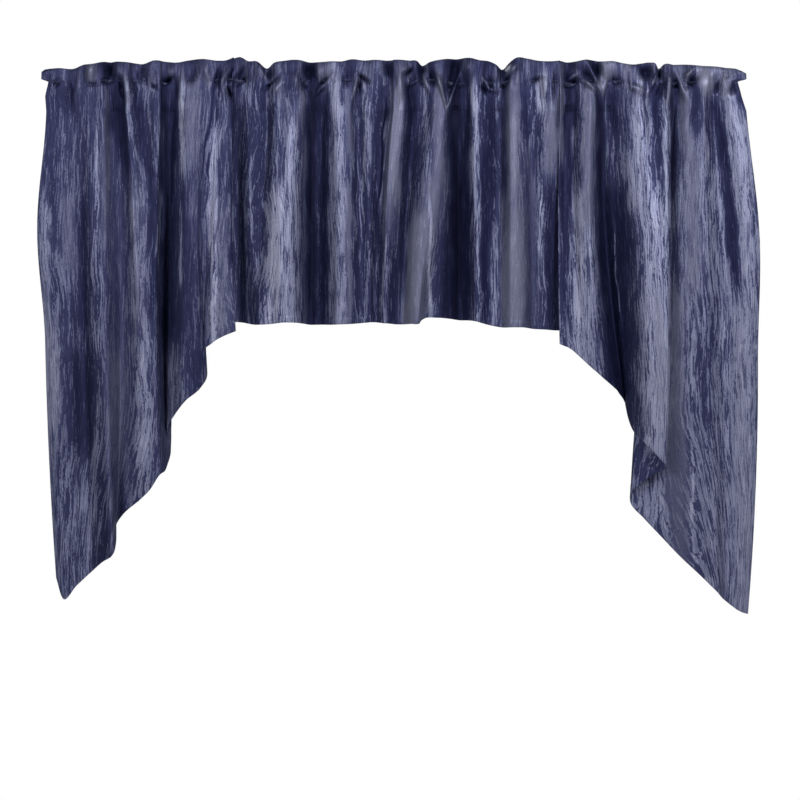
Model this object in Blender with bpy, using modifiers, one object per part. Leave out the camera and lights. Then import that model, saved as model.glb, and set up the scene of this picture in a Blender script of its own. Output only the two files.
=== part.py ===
"""Scalloped swag valance: two swags with tails and a centre panel, gathered on one rod pocket.

World frame in metres. X runs across, with + to the right as seen from the front. The front
faces -Y and +Z is up. The origin is on the line of the rod, in the middle of the valance.
"""

import bpy
import numpy as np

MM = 0.001

# Cloth and sewing, in metres.
CLOTH = 1.8 * MM
SEAM_GAP = 0.4 * MM

# Rod pocket: an upright tunnel between two seams, open at both ends of each panel. Its walls
# lie against a slim rod in the valleys and stand off it in the gathers, which also carry the
# upper seam and the header's edge forward. Levels are shares of the pocket's height.
POCKET_HEIGHT = 51 * MM
ROD_HALF = 7 * MM
CLOTH_PLANE = 6 * MM
GATHER_EASE = 6 * MM
FRONT_GATHER = 0.85
BACK_GATHER = 0.35
SEAM_GATHER = 0.5
EDGE_GATHER = 0.3
FRONT_CURL = 4
BACK_CURL = 6
WALL_LEVELS = (0.0, 0.06, 0.22, 0.5, 0.78, 0.94, 1.0)
TUNNEL_LEVELS = (0.06, 0.10, 0.22, 0.5, 0.78, 0.90, 0.94)

# The side edges of the tails swell outwards below the pocket, and draw in at the upper seam.
LEFT_BELLY = 12 * MM
RIGHT_BELLY = 8 * MM
BELLY_REACH = 55 * MM
LEFT_END = {"low": 0, "middle": -2 * MM, "high": 3 * MM, "edge": -9 * MM}
RIGHT_END = {"low": 0, "middle": -8 * MM, "high": -14 * MM, "edge": 1 * MM}
END_REACH = 30 * MM

# Mesh steps: columns for each fold, and rows down the cloth.
SWAG_STEPS = 3
CENTRE_STEPS = 2
HEADING_STEPS = 2
SWAG_ROWS = 8
CENTRE_ROWS = 6

# Cloth colour, a dull satin of navy and slate.
COLOURS = {
    "left_swag": (0.050, 0.055, 0.135),
    "centre_valance": (0.058, 0.062, 0.140),
    "right_swag": (0.066, 0.070, 0.155),
    "left_heading": (0.060, 0.064, 0.150),
    "centre_heading": (0.064, 0.068, 0.152),
    "right_heading": (0.072, 0.076, 0.165),
}
ROUGHNESS = 0.72

# Folds of the hanging cloth, one row for each crest, valley or turned edge, in millimetres.
# x_top, x_mid and x_low are its places across at the pocket, halfway down and at the hem,
# out_top, out_mid and out_low how far it stands forward there, and hem is the hem's height.
FOLD_COLUMNS = ("x_top", "x_mid", "x_low", "out_top", "out_mid", "out_low", "hem")

LEFT_FOLDS = (
    (-598, -599, -581, 16, 12, 9, -819),
    (-581, -581, -568, 20, 27, 21, -855),
    (-561, -559, -547, 12, 24, 18, -833),
    (-541, -537, -524, 18, 9, 12, -811),
    (-518, -515, -502, 23, 27, 27, -792),
    (-500, -495, -481, 20, 33, 45, -777),
    (-490, -483, -479, 6, 21, 21, -755),
    (-481, -471, -481, 3, 9, -6, -731),
    (-471, -457, -468, 8, 15, 3, -711),
    (-456, -439, -437, 20, 27, 21, -685),
    (-434, -425, -420, 6, 24, 27, -668),
    (-413, -413, -408, 16, 24, 27, -649),
    (-400, -400, -394, 3, -6, 9, -629),
    (-391, -379, -388, 3, -15, -9, -602),
    (-384, -391, -393, 3, 4, 9, -568),
    (-372, -377, -382, 13, 22, 24, -546),
    (-355, -359, -359, 23, 34, 39, -518),
    (-338, -342, -335, 24, 34, 27, -496),
    (-325, -330, -325, 19, 24, 6, -468),
    (-313, -321, -332, 22, 26, 18, -439),
    (-303, -309, -314, 23, 32, 33, -420),
    (-292, -296, -298, 20, 32, 33, -410),
    (-280.4, -282, -275, 16, 24, 27, -400),
)

RIGHT_FOLDS = (
    (275.9, 272, 274, 13, 24, 27, -422),
    (287, 284, 292, 4, 18, 30, -430),
    (298, 298, 309, 3, 12, 32, -445),
    (309, 311, 326, 16, 27, 36, -461),
    (323, 323, 343, 25, 40, 40, -476),
    (333, 335, 364, 22, 33, 27, -493),
    (342, 347, 377, 5, 3, 9, -505),
    (350, 359, 388, 3, -12, -6, -520),
    (362, 374, 393, 3, -3, 2, -546),
    (376, 391, 401, 11, 12, 15, -570),
    (391, 408, 416, 20, 30, 33, -588),
    (411, 427, 434, 25, 42, 45, -607),
    (435, 445, 445, 16, 44, 46, -620),
    (452, 457, 452, 23, 42, 45, -627),
    (461, 462, 454, 20, 34, 36, -632),
    (464, 452, 432, 16, 26, 26, -644),
    (467, 437, 411, 11, 20, 20, -661),
    (468, 423, 396, 7, 10, 12, -677),
    (470, 425, 398, 4, 0, 2, -694),
    (472, 442, 420, 3, -4, -3, -719),
    (474, 462, 447, 3, -3, -3, -748),
    (479, 478, 479, 3, 3, 3, -782),
    (491, 495, 513, 19, 24, 18, -814),
    (513, 518, 537, 23, 30, 27, -838),
    (541, 563, 559, 11, 15, 15, -860),
    (566, 590, 581, 23, 28, 20, -876),
    (592, 611, 595, 16, 15, 10, -881),
)

CENTRE_FOLDS = (
    (-280, -289, -289, 6, -3, -3, -384),
    (-269, -270, -269, 3, -9, -6, -384),
    (-250, -253, -248, 13, 9, 6, -388),
    (-226, -231, -235, 7, 9, 10, -389),
    (-207, -211, -214, 23, 30, 30, -388),
    (-184, -190, -194, 26, 38, 39, -386),
    (-165, -172, -173, 18, 28, 30, -386),
    (-153, -158, -160, 4, 9, 9, -387),
    (-143, -146, -148, 3, -12, -12, -388),
    (-131, -133, -134, 3, -6, -6, -388),
    (-117, -116, -114, 16, 18, 18, -389),
    (-100, -97, -100, 25, 33, 33, -389),
    (-83, -80, -80, 20, 27, 27, -388),
    (-68, -63, -61, 10, 14, 15, -386),
    (-51, -49, -48, 20, 21, 18, -385),
    (-29, -34, -34, 16, 10, 12, -385),
    (-15, -26, -24, 8, 12, 22, -386),
    (0, -12, -10, 26, 32, 20, -387),
    (14, 3, 0, 18, 16, 8, -388),
    (27, 15, 10, 3, 2, 12, -388),
    (46, 29, 22, 8, 22, 32, -388),
    (65, 46, 35, 23, 33, 38, -388),
    (75, 60, 39, 22, 30, 24, -382),
    (83, 71, 48, 16, 24, 15, -377),
    (90, 83, 68, 6, 15, 15, -377),
    (97, 94, 88, 3, -3, 0, -378),
    (105, 104, 105, 3, -15, -15, -380),
    (116, 116, 119, 8, 2, 2, -381),
    (131, 133, 134, 24, 27, 27, -384),
    (151, 153, 153, 16, 18, 18, -389),
    (172, 172, 173, 3, 9, 16, -393),
    (194, 194, 194, 26, 36, 36, -394),
    (214, 214, 214, 18, 27, 30, -394),
    (233, 230, 231, 13, 15, 15, -396),
    (252, 246, 250, 23, 21, 14, -397),
    (265, 262, 264, 22, 15, 8, -398),
    (275.5, 280, 281, 5, 3, 0, -399),
)

# Ruffles of the header, one row for each crest or pinch, in millimetres: its place across,
# the height of the top edge, and how far the edge and the upper seam stand forward there.
RUFFLE_COLUMNS = ("x", "top", "out_edge", "out_seam")

LEFT_RUFFLES = (
    (-598, 46, 5, 4),
    (-575, 48, 9, 5),
    (-554, 48, 2, 2),
    (-534, 54, 8, 0),
    (-520, 54, 12, 7),
    (-505, 59, 4, 1),
    (-493, 61, -5, -3),
    (-476, 60, 6, 3),
    (-461, 58, 9, 5),
    (-450, 58, -2, -2),
    (-435, 56, 5, 3),
    (-415, 61, 11, 6),
    (-394, 60, 2, -1),
    (-376, 58, 8, 4),
    (-354, 63, -2, -1),
    (-330, 63, 11, 5),
    (-308, 61, 6, 1),
    (-292, 63, 0, 3),
    (-280.4, 68, -3, -3),
)

CENTRE_RUFFLES = (
    (-280, 70, -4, -3),
    (-269, 68, 4, 2),
    (-255, 60, 9, 3),
    (-240, 60, 6, 5),
    (-224, 50, -6, -3),
    (-212, 57, 6, 2),
    (-194, 60, 9, 4),
    (-170, 63, 2, 0),
    (-150, 60, -3, -4),
    (-134, 59, 6, 0),
    (-116, 59, 13, 5),
    (-95, 60, 5, 2),
    (-78, 63, 10, 4),
    (-56, 62, 2, -2),
    (-39, 62, 9, 3),
    (-19, 62, 4, 0),
    (-2, 62, 9, 4),
    (19, 62, 3, -3),
    (32, 61, 8, 4),
    (41, 55, -4, -3),
    (54, 59, 5, 1),
    (71, 62, 9, 4),
    (87, 65, 3, 0),
    (102, 66, -4, -5),
    (119, 66, 8, 4),
    (139, 61, 11, 6),
    (156, 60, 5, 0),
    (168, 54, 8, 2),
    (178, 48, -6, -4),
    (189, 57, 5, 0),
    (201, 65, 10, 5),
    (221, 65, 4, 1),
    (241, 60, 11, 3),
    (262, 60, 6, 2),
    (275.5, 61, 9, 5),
)

RIGHT_RUFFLES = (
    (275.9, 61, 5, 2),
    (289, 60, -3, -3),
    (304, 60, 8, 3),
    (320, 62, 10, 0),
    (333, 63, -4, -3),
    (348, 60, 9, 2),
    (367, 60, 11, 4),
    (384, 57, 5, 1),
    (401, 54, 8, 4),
    (416, 57, 1, -1),
    (428, 58, 6, 3),
    (439, 55, 10, 4),
    (445, 49, -5, -3),
    (452, 54, 6, 2),
    (469, 54, 9, 4),
    (486, 55, 3, -2),
    (502, 53, 10, 4),
    (520, 52, 5, 2),
    (541, 51, 9, 5),
    (561, 49, 3, -1),
    (578, 47, 7, 4),
    (592, 43, 4, 3),
)


def clear_scene():
    for thing in list(bpy.data.objects):
        bpy.data.objects.remove(thing, do_unlink=True)


def read_table(names, rows):
    """Columns of a table of millimetres, as arrays in metres under their names."""
    return dict(zip(names, np.array(rows, dtype=float).T * MM))


def smooth_curve(knots, values, places):
    """Cubic curve through the values at the knots, read at the given places.

    The slope at a knot is the mean of its two spans' slopes, each weighted by the other
    span's length, so tight turns beside wide folds stay round.
    """
    spans = np.diff(knots)[:, None]
    slopes = np.diff(values, axis=0) / spans
    inner = (spans[1:] * slopes[:-1] + spans[:-1] * slopes[1:]) / (spans[1:] + spans[:-1])
    slope = np.vstack([slopes[:1], inner, slopes[-1:]])
    index = np.clip(np.searchsorted(knots, places, side="right") - 1, 0, len(spans) - 1)
    width = spans[index]
    t = (places - knots[index])[:, None] / width
    start, end = values[index], values[index + 1]
    ease = t * t * (3 - 2 * t)
    lead = t * (1 - t) * (1 - t) * width * slope[index]
    trail = t * t * (t - 1) * width * slope[index + 1]
    return start + (end - start) * ease + lead + trail


def cloth_places(folds, steps):
    """Distance along the cloth of each fold, and of each mesh column between them."""
    across = np.hypot(np.diff(folds["x_mid"]), np.diff(folds["out_mid"]))
    knots = np.concatenate([[0.0], np.cumsum(across)])
    count = (len(knots) - 1) * steps + 1
    places = np.interp(np.arange(count) / steps, np.arange(len(knots)), knots)
    return knots, places


def fold_curves(folds, steps):
    """The fold table's columns as smooth curves over the mesh columns."""
    knots, places = cloth_places(folds, steps)
    values = np.stack([folds[name] for name in FOLD_COLUMNS], axis=1)
    curves = smooth_curve(knots, values, places)
    return dict(zip(FOLD_COLUMNS, curves.T)), places


def down_the_cloth(curves, kind, v):
    """Value at share v of the drop: the parabola through its top, mid and low values."""
    top = (1 - v) * (1 - 2 * v)
    mid = 4 * v * (1 - v)
    low = v * (2 * v - 1)
    columns = [curves[f"{kind}_{level}"][:, None] for level in ("top", "mid", "low")]
    return columns[0] * top + columns[1] * mid + columns[2] * low


def hanging_points(folds, steps, rows, belly, outer_end):
    """Grid of points over the hanging cloth, mesh columns by rows from seam to hem."""
    curves, places = fold_curves(folds, steps)
    v = np.linspace(0.0, 1.0, rows + 1)[None, :]
    x = down_the_cloth(curves, "x", v)
    out = down_the_cloth(curves, "out", v)
    from_edge = np.abs(places - places[outer_end])[:, None]
    swell = np.where(v < 0.5, np.sin(2 * np.pi * v) ** 2, 0.0)
    x = x + belly * swell * np.exp(-((from_edge / BELLY_REACH) ** 2))
    seam = -POCKET_HEIGHT / 2 - SEAM_GAP
    z = seam + (curves["hem"][:, None] - seam) * v
    return np.stack([x, -out, z], axis=2)


def gather_lift(out):
    """How far a gather stands off the rod: the part of a fold before the cloth's plane."""
    reach = out - CLOTH_PLANE
    return (reach + np.hypot(reach, GATHER_EASE)) / 2


def pocket_wall(height, seam, middle, curl):
    """Forward place of a pocket wall: on a seam at its ends, round the rod between."""
    spread = 1 - np.abs(2 * height - 1) ** curl
    return middle * spread + seam * (1 - spread)


def end_shift(shifts, height, header):
    """Sideways shift of a panel's outer end at a height of the pocket or header."""
    pocket = np.interp(height, (0.0, 0.5, 1.0), [shifts[k] for k in ("low", "middle", "high")])
    return pocket + (shifts["edge"] - shifts["high"]) * header


def heading_rings(folds, ruffles, shifts, outer_end):
    """Outer and inner rings of points of the heading, mesh columns by points round.

    The outer ring goes up the pocket's front, over the header and down the back. The inner
    ring is the tunnel, one cloth thickness inside the pocket's walls.
    """
    curves, _ = fold_curves(folds, HEADING_STEPS)
    x, low = curves["x_top"], curves["out_top"]
    values = np.stack([ruffles[name] for name in RUFFLE_COLUMNS[1:]], axis=1)
    top, edge, seam = smooth_curve(ruffles["x"], values, x).T
    near_end = np.exp(-(((x - x[outer_end]) / END_REACH) ** 2))
    lift = gather_lift(low)
    seam = seam + SEAM_GATHER * lift
    edge = edge + EDGE_GATHER * lift
    front = ROD_HALF + FRONT_GATHER * lift
    back = -ROD_HALF - BACK_GATHER * lift

    def point(height, header, side, inset):
        nearest_seam = low if height < 0.5 else seam
        if side > 0:
            out = pocket_wall(height, nearest_seam, front, FRONT_CURL)
        else:
            out = pocket_wall(height, nearest_seam, back, BACK_CURL)
        sewn = CLOTH / 2 if height in (0.0, 1.0) else 0.0
        out = out + side * (sewn - inset) + (edge - seam) * header
        z = POCKET_HEIGHT * (height - 0.5) + (top - POCKET_HEIGHT / 2) * header
        shifted = x + end_shift(shifts, height, header) * near_end
        return np.stack([shifted, -out, z], axis=1)

    outer = [point(h, 0.0, 1, 0.0) for h in WALL_LEVELS]
    outer += [point(1.0, 1.0, 1, 0.0), point(1.0, 1.0, -1, 0.0)]
    outer += [point(h, 0.0, -1, 0.0) for h in reversed(WALL_LEVELS)]
    inner = [point(h, 0.0, 1, CLOTH) for h in TUNNEL_LEVELS]
    inner += [point(h, 0.0, -1, CLOTH) for h in reversed(TUNNEL_LEVELS)]
    return np.stack(outer, axis=1), np.stack(inner, axis=1)


def grid_faces(columns, points, first, closed, flip):
    """Quads between neighbouring columns of points, as rows of four point numbers."""
    around = points if closed else points - 1
    column, place = np.meshgrid(np.arange(columns - 1), np.arange(around), indexing="ij")
    following = (place + 1) % points
    corners = [
        column * points + place,
        (column + 1) * points + place,
        (column + 1) * points + following,
        column * points + following,
    ]
    if flip:
        corners.reverse()
    return first + np.stack(corners, axis=2).reshape(-1, 4)


def cap_faces(outer, inner, flip):
    """Quads that close one end of a heading, round the tunnel and up the header."""
    walls = len(WALL_LEVELS)
    front, back = outer[:walls], outer[walls + 2:]
    ring = np.concatenate([front, back])
    following, inner_following = np.roll(ring, -1), np.roll(inner, -1)
    faces = np.stack([ring, following, inner_following, inner], axis=1)
    header = [front[-1], outer[walls], outer[walls + 1], back[0]]
    faces = np.vstack([faces, header])
    return faces[:, ::-1] if flip else faces


def new_object(name, points, faces, collection):
    mesh = bpy.data.meshes.new(name)
    mesh.from_pydata(points.reshape(-1, 3).tolist(), [], faces.tolist())
    mesh.validate()
    mesh.shade_smooth()
    mesh.materials.append(cloth_material(name))
    thing = bpy.data.objects.new(name, mesh)
    collection.objects.link(thing)
    return thing


def cloth_material(name):
    material = bpy.data.materials.new(f"{name}_satin")
    material.use_nodes = True
    shader = material.node_tree.nodes["Principled BSDF"]
    shader.inputs["Base Color"].default_value = (*COLOURS[name], 1.0)
    shader.inputs["Roughness"].default_value = ROUGHNESS
    shader.inputs["Metallic"].default_value = 0.0
    material.diffuse_color = (*COLOURS[name], 1.0)
    return material


def add_hanging_cloth(name, folds, steps, rows, belly, outer_end, collection):
    """A sheet over the fold table, given its thickness by Solidify."""
    points = hanging_points(folds, steps, rows, belly, outer_end)
    columns, levels = points.shape[:2]
    faces = grid_faces(columns, levels, 0, closed=False, flip=True)
    thing = new_object(name, points, faces, collection)
    sheet = thing.modifiers.new("sheet", "SOLIDIFY")
    sheet.thickness = CLOTH
    sheet.offset = 0.0
    return thing


def add_heading(name, folds, ruffles, shifts, outer_end, collection):
    """A header ruffle over an open rod pocket, lofted from column to column."""
    outer, inner = heading_rings(folds, ruffles, shifts, outer_end)
    columns, around = outer.shape[:2]
    inside = inner.shape[1]
    first_inner = columns * around
    skin = grid_faces(columns, around, 0, closed=True, flip=False)
    tunnel = grid_faces(columns, inside, first_inner, closed=True, flip=True)
    outer_ring, inner_ring = np.arange(around), first_inner + np.arange(inside)
    start = cap_faces(outer_ring, inner_ring, flip=False)
    last = columns - 1
    end = cap_faces(outer_ring + last * around, inner_ring + last * inside, flip=True)
    points = np.vstack([outer.reshape(-1, 3), inner.reshape(-1, 3)])
    return new_object(name, points, np.vstack([skin, tunnel, start, end]), collection)


def build():
    clear_scene()
    collection = bpy.data.collections.new("swag_valance")
    bpy.context.scene.collection.children.link(collection)
    left = read_table(FOLD_COLUMNS, LEFT_FOLDS)
    centre = read_table(FOLD_COLUMNS, CENTRE_FOLDS)
    right = read_table(FOLD_COLUMNS, RIGHT_FOLDS)
    level_end = dict.fromkeys(LEFT_END, 0.0)

    add_hanging_cloth("left_swag", left, SWAG_STEPS, SWAG_ROWS, -LEFT_BELLY, 0, collection)
    add_hanging_cloth("right_swag", right, SWAG_STEPS, SWAG_ROWS, RIGHT_BELLY, -1, collection)
    add_hanging_cloth("centre_valance", centre, CENTRE_STEPS, CENTRE_ROWS, 0.0, 0, collection)

    for name, folds, rows, shifts, outer_end in (
        ("left_heading", left, LEFT_RUFFLES, LEFT_END, 0),
        ("centre_heading", centre, CENTRE_RUFFLES, level_end, 0),
        ("right_heading", right, RIGHT_RUFFLES, RIGHT_END, -1),
    ):
        ruffles = read_table(RUFFLE_COLUMNS, rows)
        add_heading(name, folds, ruffles, shifts, outer_end, collection)


build()
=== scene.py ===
"""Looks of a scalloped swag valance: two swags with tails and a centre panel on one rod.

Each panel is one length of cloth. Its top is turned over and sewn in two rows, which gives a
header ruffle over a rod pocket, and its free edges are hemmed. World frame in metres: X runs
across, with + to the right as seen from the front, the front faces -Y and +Z is up. The
origin is on the line of the rod. "Out" is how far cloth stands forward of that line.
"""

import math

import bpy
import numpy as np
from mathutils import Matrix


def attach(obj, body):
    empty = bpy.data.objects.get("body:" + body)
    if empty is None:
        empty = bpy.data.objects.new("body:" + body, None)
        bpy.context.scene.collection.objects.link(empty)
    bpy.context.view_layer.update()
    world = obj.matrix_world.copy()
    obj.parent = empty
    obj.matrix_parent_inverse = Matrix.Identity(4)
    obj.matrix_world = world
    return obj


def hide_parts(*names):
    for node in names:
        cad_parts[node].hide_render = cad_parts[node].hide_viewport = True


MM = 0.001

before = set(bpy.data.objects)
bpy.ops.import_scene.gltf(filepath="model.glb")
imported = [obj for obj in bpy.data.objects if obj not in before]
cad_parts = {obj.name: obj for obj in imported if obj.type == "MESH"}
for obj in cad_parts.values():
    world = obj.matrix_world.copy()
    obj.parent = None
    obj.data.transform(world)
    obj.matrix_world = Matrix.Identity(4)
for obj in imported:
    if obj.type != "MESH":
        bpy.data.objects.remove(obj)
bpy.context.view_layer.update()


# Studio. A white room with a plain pale floor below the hanging cloth. Two broad soft lights
# stand in front of it, the right one stronger, and a weak one behind.
FLOOR_DROP = 1.25
FLOOR_SIZE = 40.0
ROOM_WHITE = 1.0
ROOM_GLOW = 0.05
FLOOR_COLOUR = (0.8, 0.8, 0.8, 1.0)
FLOOR_ROUGHNESS = 0.9
AIM = (0.0, 0.0, -0.35)
RIGHT_LIGHT = {"place": (1.7, -2.6, 1.25), "size": 1.0, "power": 79.0}
LEFT_LIGHT = {"place": (-1.9, -2.6, 0.95), "size": 1.2, "power": 54.0}
BACK_LIGHT = {"place": (-1.2, 3.0, 0.8), "size": 2.0, "power": 50.0}

# The camera stands level with the middle of the photo, which takes in 1.36 m of the cloth.
CAMERA_PLACE = (3.4 * MM, -3.6, -516.8 * MM)
FRAME_SPAN = 1.36
CLOTH_DEPTH = -18 * MM
SENSOR = 36.0


def camera_ray_mix(tree, seen, unseen):
    """A number that is one value for rays from the camera and another for the light."""
    path = tree.nodes.new("ShaderNodeLightPath")
    mix = tree.nodes.new("ShaderNodeMix")
    mix.inputs["A"].default_value = unseen
    mix.inputs["B"].default_value = seen
    tree.links.new(path.outputs["Is Camera Ray"], mix.inputs["Factor"])
    return mix.outputs["Result"]


def make_room():
    """White all round to the camera, and a faint even glow on the cloth."""
    world = bpy.data.worlds.new("white_room")
    world.use_nodes = True
    background = world.node_tree.nodes["Background"]
    background.inputs["Color"].default_value = (1.0, 1.0, 1.0, 1.0)
    glow = camera_ray_mix(world.node_tree, ROOM_WHITE, ROOM_GLOW)
    world.node_tree.links.new(glow, background.inputs["Strength"])
    bpy.context.scene.world = world


def floor_material():
    """White to the camera, so that it meets the room unseen, and a pale matt to the light."""
    material = bpy.data.materials.new("pale_floor")
    material.use_nodes = True
    tree = material.node_tree
    shader = tree.nodes["Principled BSDF"]
    shader.inputs["Base Color"].default_value = FLOOR_COLOUR
    shader.inputs["Roughness"].default_value = FLOOR_ROUGHNESS
    glow = tree.nodes.new("ShaderNodeEmission")
    glow.inputs["Strength"].default_value = ROOM_WHITE
    mix = tree.nodes.new("ShaderNodeMixShader")
    path = tree.nodes.new("ShaderNodeLightPath")
    output = tree.nodes["Material Output"]
    tree.links.new(path.outputs["Is Camera Ray"], mix.inputs["Fac"])
    tree.links.new(shader.outputs["BSDF"], mix.inputs[1])
    tree.links.new(glow.outputs["Emission"], mix.inputs[2])
    tree.links.new(mix.outputs["Shader"], output.inputs["Surface"])
    return material


def make_floor():
    """One level square below the longest tail."""
    half = FLOOR_SIZE / 2
    corners = [(-half, -half), (half, -half), (half, half), (-half, half)]
    mesh = bpy.data.meshes.new("floor")
    mesh.from_pydata([(x, y, -FLOOR_DROP) for x, y in corners], [], [(0, 1, 2, 3)])
    mesh.materials.append(floor_material())
    floor = bpy.data.objects.new("floor", mesh)
    bpy.context.scene.collection.objects.link(floor)


def aim_at(thing, target):
    """Turn a light so that it shines from its place to the target."""
    across, along, down = (a - b for a, b in zip(target, thing.location))
    flat = math.hypot(across, along)
    thing.rotation_euler = (math.pi / 2 + math.atan2(down, flat), 0.0, -math.atan2(across, along))


def add_soft_light(name, facts):
    """A round soft light of the given size and power, turned to the middle of the cloth."""
    lamp = bpy.data.lights.new(name, "AREA")
    lamp.shape = "DISK"
    lamp.size = facts["size"]
    lamp.energy = facts["power"]
    light = bpy.data.objects.new(name, lamp)
    light.location = facts["place"]
    aim_at(light, AIM)
    bpy.context.scene.collection.objects.link(light)


def add_camera():
    """The photo's level view: the lens takes in the frame's span at the cloth's depth."""
    camera = bpy.data.cameras.new("camera")
    camera.sensor_width = SENSOR
    camera.lens = SENSOR * (CLOTH_DEPTH - CAMERA_PLACE[1]) / FRAME_SPAN
    viewer = bpy.data.objects.new("camera", camera)
    viewer.location = CAMERA_PLACE
    viewer.rotation_euler = (math.pi / 2, 0.0, 0.0)
    bpy.context.scene.collection.objects.link(viewer)
    bpy.context.scene.camera = viewer


make_room()
make_floor()
add_soft_light("right_light", RIGHT_LIGHT)
add_soft_light("left_light", LEFT_LIGHT)
add_soft_light("back_light", BACK_LIGHT)
add_camera()
bpy.context.scene.view_settings.view_transform = "Standard"


# Left swag. One length of satin jacquard, cut with a slanting foot that falls to a long
# tail at the outer side. It is gathered to about four fifths of its width on the rod.

# The rod pocket and half the rod's room in it, half the gap between the header's layers at
# their seam, and the cloth's thickness, single and hemmed, with the hem's depth.
POCKET_HEIGHT = 51 * MM
ROD_HALF = 6.5 * MM
LAYER_GAP = 0.55 * MM
CLOTH = 0.7 * MM
HEM_THICK = 1.4 * MM
HEM_DEPTH = 11 * MM

FOLD_COLUMNS = ("x_top", "x_mid", "x_low", "out_top", "out_mid", "out_low", "hem")

# One row for each crest, valley or turned edge, in millimetres: its places across at the
# pocket, halfway down and at the hem, its places out there, and the hem's height.
LEFT_FOLDS = (
    (-598, -599, -581, 17, 21, 17, -819),
    (-581, -581, -568, 20, 27, 21, -855),
    (-561, -559, -547, 12, 24, 18, -833),
    (-541, -537, -524, 18, 9, 12, -811),
    (-518, -515, -502, 23, 27, 27, -792),
    (-500, -495, -481, 20, 33, 45, -777),
    (-490, -483, -479, 6, 21, 21, -755),
    (-481, -471, -481, 3, 9, 6, -731),
    (-471, -457, -468, 8, 15, 10, -711),
    (-456, -439, -437, 20, 27, 21, -685),
    (-434, -425, -420, 6, 24, 27, -668),
    (-413, -413, -408, 16, 24, 27, -649),
    (-400, -400, -394, 3, -6, 9, -629),
    (-391, -386, -389, 3, -9, -5, -602),
    (-384, -391, -393, 3, 4, 9, -568),
    (-372, -377, -382, 13, 22, 24, -546),
    (-355, -359, -359, 23, 34, 39, -518),
    (-338, -342, -335, 24, 34, 27, -496),
    (-325, -330, -325, 19, 24, 15, -468),
    (-313, -321, -332, 22, 26, 22, -439),
    (-303, -309, -314, 23, 32, 33, -420),
    (-292, -296, -298, 20, 32, 33, -410),
    (-280.4, -282, -275, 16, 24, 27, -400),
)

RUFFLE_COLUMNS = ("x", "top", "out_edge", "out_seam")

# One row for each crest or pinch of the header, in millimetres: its place across, the height
# of the top edge, and how far the edge and the upper seam stand out.
LEFT_RUFFLES = (
    (-598, 46, 5, 4),
    (-575, 48, 9, 5),
    (-554, 48, 2, 2),
    (-534, 54, 8, 0),
    (-520, 54, 12, 7),
    (-505, 59, 4, 1),
    (-493, 61, -5, -3),
    (-476, 60, 6, 3),
    (-461, 58, 9, 5),
    (-450, 58, -2, -2),
    (-435, 56, 5, 3),
    (-415, 61, 11, 6),
    (-394, 60, 2, -1),
    (-376, 58, 8, 4),
    (-354, 63, -2, -1),
    (-330, 63, 11, 5),
    (-308, 61, 6, 1),
    (-292, 63, 0, 3),
    (-280.4, 68, -3, -3),
)

CREASE_COLUMNS = ("x", "z", "lean", "length", "width", "out")

# Creases where the header's seam puckers the cloth, one row each: the middle of the crease,
# its lean from upright in degrees, its half length and half width in millimetres, and how
# far it stands out, or in where that is below nothing.
LEFT_CREASES = (
    (-580, 22, 60, 8, 5, -6),
    (-559, 6, 0, 24, 5, -6),
    (-522, 42, 10, 14, 8, 9),
    (-520, 20, 90, 8, 3, -7.5),
    (-492, 48, 0, 15, 5.5, -12),
    (-497, 26, 80, 7, 4, -12),
    (-476, 42, -20, 12, 6, 6),
    (-470, 13, -12, 17, 4, -9),
    (-461, 12, -8, 24, 8, 7.5),
    (-449, 18, -14, 18, 4, -9),
    (-438, 38, 0, 14, 6, -7.5),
    (-417, 18, -55, 7, 2.5, -7.5),
    (-393, 28, 62, 9, 3.5, -13.5),
    (-388, 42, 0, 10, 8, 6),
    (-368, 20, 5, 30, 5, 6),
    (-350, 36, 20, 14, 8, -6),
    (-326, 40, -15, 14, 6, 6),
    (-306, 34, 15, 20, 5, -6),
    (-296, 30, 20, 16, 4, 6),
    (-284, 34, 28, 14, 4, -10.5),
    (-287, 7, -24, 12, 2.5, -12),
    (-292, 14, 0, 14, 3, 7.5),
    (-285, 19, 0, 5, 4, 6),
)

BAND_COLUMNS = ("x_high", "z_high", "x_low", "z_low", "half", "tone", "plain")

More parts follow.
